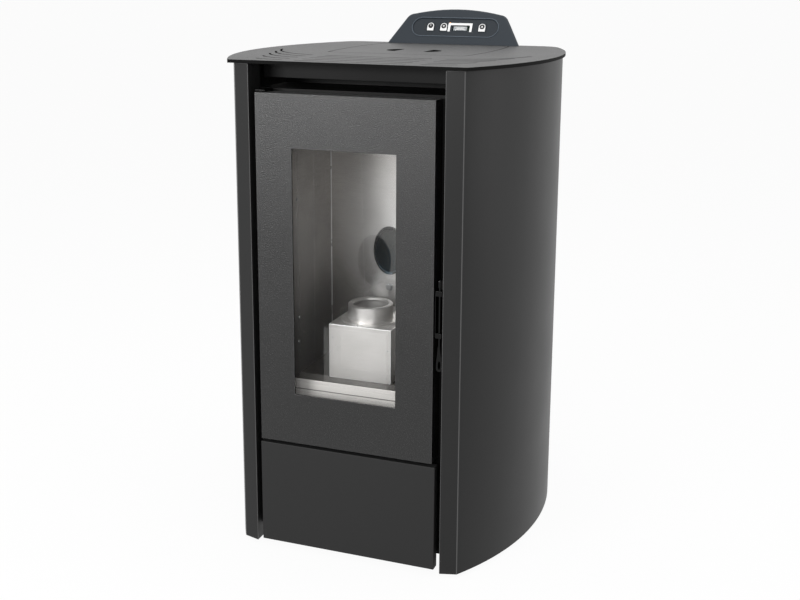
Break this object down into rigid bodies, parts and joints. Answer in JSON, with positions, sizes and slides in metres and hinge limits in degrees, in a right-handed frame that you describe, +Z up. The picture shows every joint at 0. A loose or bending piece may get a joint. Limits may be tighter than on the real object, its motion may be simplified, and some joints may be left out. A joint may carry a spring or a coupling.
{
  "type": "pellet stove",
  "caption": "Slim pellet stove with curved sides, glazed fire door, slotted top with a hopper lid and a leaning control console.",
  "frame": {"origin": "middle of the bounding box's footprint, on the floor under the feet", "axes": "+Z up, the fire door faces -Y, the flue leaves towards +Y"},
  "size_m": [0.506, 0.5436, 0.837],
  "materials": {
    "satin_black": "satin",
    "textured_black": "textured matt",
    "plate_grey": "textured matt",
    "brushed_steel": "brushed",
    "cast_steel": "cast",
    "zinc_steel": "zinc plated, satin",
    "dark_steel": "matt",
    "console_plastic": "fine grained",
    "bezel_plastic": "satin",
    "key_plastic": "satin",
    "board_green": "satin",
    "rope": "woven",
    "heat_glass": "clear",
    "black_rubber": "matt",
    "black_plastic": "satin"
  },
  "bodies": {
    "casing": {"side_casing_left": "satin_black", "side_casing_right": "satin_black", "rear_panel": "satin_black", "top_plate": "plate_grey", "chamber_floor": "brushed_steel", "liner_left": "brushed_steel", "liner_right": "brushed_steel", "liner_back": "brushed_steel", "burner_box": "brushed_steel", "base_plate": "zinc_steel", "lid_hinge_pin_left": "zinc_steel", "lid_hinge_pin_right": "zinc_steel", "liner_bolt": "zinc_steel", "igniter": "zinc_steel", "auger_tube": "zinc_steel", "auger_motor": "zinc_steel", "hopper": "zinc_steel", "smoke_duct": "zinc_steel", "smoke_duct_side_plate": "zinc_steel", "exhaust_fan_case": "zinc_steel", "flue_spigot": "zinc_steel", "room_fan_case": "zinc_steel", "air_intake_pipe": "zinc_steel", "front_frame": "dark_steel", "air_outlet_fascia": "dark_steel", "fire_chamber": "dark_steel", "baffle_plate": "dark_steel", "feed_chute": "dark_steel", "exhaust_fan_motor": "dark_steel", "room_fan_motor": "dark_steel", "door_hinge_bracket_top": "dark_steel", "door_hinge_bracket_bottom": "dark_steel", "latch_keeper": "dark_steel", "console_housing": "console_plastic", "console_bezel": "bezel_plastic", "control_board": "board_green", "display_lens": "heat_glass", "foot_front_left": "black_rubber", "foot_rear_left": "black_rubber", "foot_front_right": "black_rubber", "foot_rear_right": "black_rubber", "power_inlet": "black_plastic"},
    "door": {"door_face": "textured_black", "glass_gasket": "rope", "door_glass": "heat_glass", "glass_retainer": "zinc_steel", "door_inner_frame": "dark_steel", "door_gasket": "rope", "handle_bracket": "dark_steel"},
    "handle": {"door_handle": "dark_steel"},
    "lid": {"hopper_lid": "plate_grey"},
    "burn_pot": {"burn_pot": "cast_steel"},
    "lower_panel": {"lower_panel": "satin_black"},
    "key_power": {"key_power": "key_plastic"},
    "key_down": {"key_down": "key_plastic"},
    "key_up": {"key_up": "key_plastic"},
    "auger": {"auger_screw": "zinc_steel"},
    "exhaust_fan": {"exhaust_fan_wheel": "zinc_steel"},
    "room_fan": {"room_fan_drum": "dark_steel"},
    "rocker": {"mains_rocker": "black_plastic"}
  },
  "joints": [
    {"name": "door_swing", "type": "hinge", "parent": "casing", "child": "door", "pos_m": [-0.137, -0.25875, 0.45], "axis": [0, 0, -1], "range_deg": [0, 110]},
    {"name": "handle_turn", "type": "hinge", "parent": "door", "child": "handle", "pos_m": [0.1468, -0.25975, 0.42], "axis": [0, 0, 1], "range_deg": [0, 80]},
    {"name": "lid_lift", "type": "hinge", "parent": "casing", "child": "lid", "pos_m": [0, 0.19425, 0.7738], "axis": [-1, 0, 0], "range_deg": [0, 75]},
    {"name": "burn_pot_lift", "type": "slide", "parent": "casing", "child": "burn_pot", "axis": [0, 0, 1], "range_m": [0, 0.055]},
    {"name": "lower_panel_pull", "type": "slide", "parent": "casing", "child": "lower_panel", "axis": [0, -1, 0], "range_m": [0, 0.04]},
    {"name": "key_power_press", "type": "slide", "parent": "casing", "child": "key_power", "axis": [0, 0.866, -0.5], "range_m": [0, 0.0012], "stiffness_N_per_m": 200},
    {"name": "key_down_press", "type": "slide", "parent": "casing", "child": "key_down", "axis": [0, 0.866, -0.5], "range_m": [0, 0.0012], "stiffness_N_per_m": 200},
    {"name": "key_up_press", "type": "slide", "parent": "casing", "child": "key_up", "axis": [0, 0.866, -0.5], "range_m": [0, 0.0012], "stiffness_N_per_m": 200},
    {"name": "auger_turn", "type": "hinge", "parent": "casing", "child": "auger", "pos_m": [0, -0.00146, 0.53923], "axis": [0, 0.7071, -0.7071], "continuous": true},
    {"name": "exhaust_fan_spin", "type": "hinge", "parent": "casing", "child": "exhaust_fan", "pos_m": [0.1013, 0.10325, 0.124], "axis": [1, 0, 0], "continuous": true},
    {"name": "room_fan_spin", "type": "hinge", "parent": "casing", "child": "room_fan", "pos_m": [-0.074, -0.00675, 0.102], "axis": [1, 0, 0], "continuous": true},
    {"name": "mains_rocker_tilt", "type": "hinge", "parent": "casing", "child": "rocker", "pos_m": [-0.132, 0.22625, 0.081], "axis": [-1, 0, 0], "range_deg": [0, 13.75]}
  ]
}
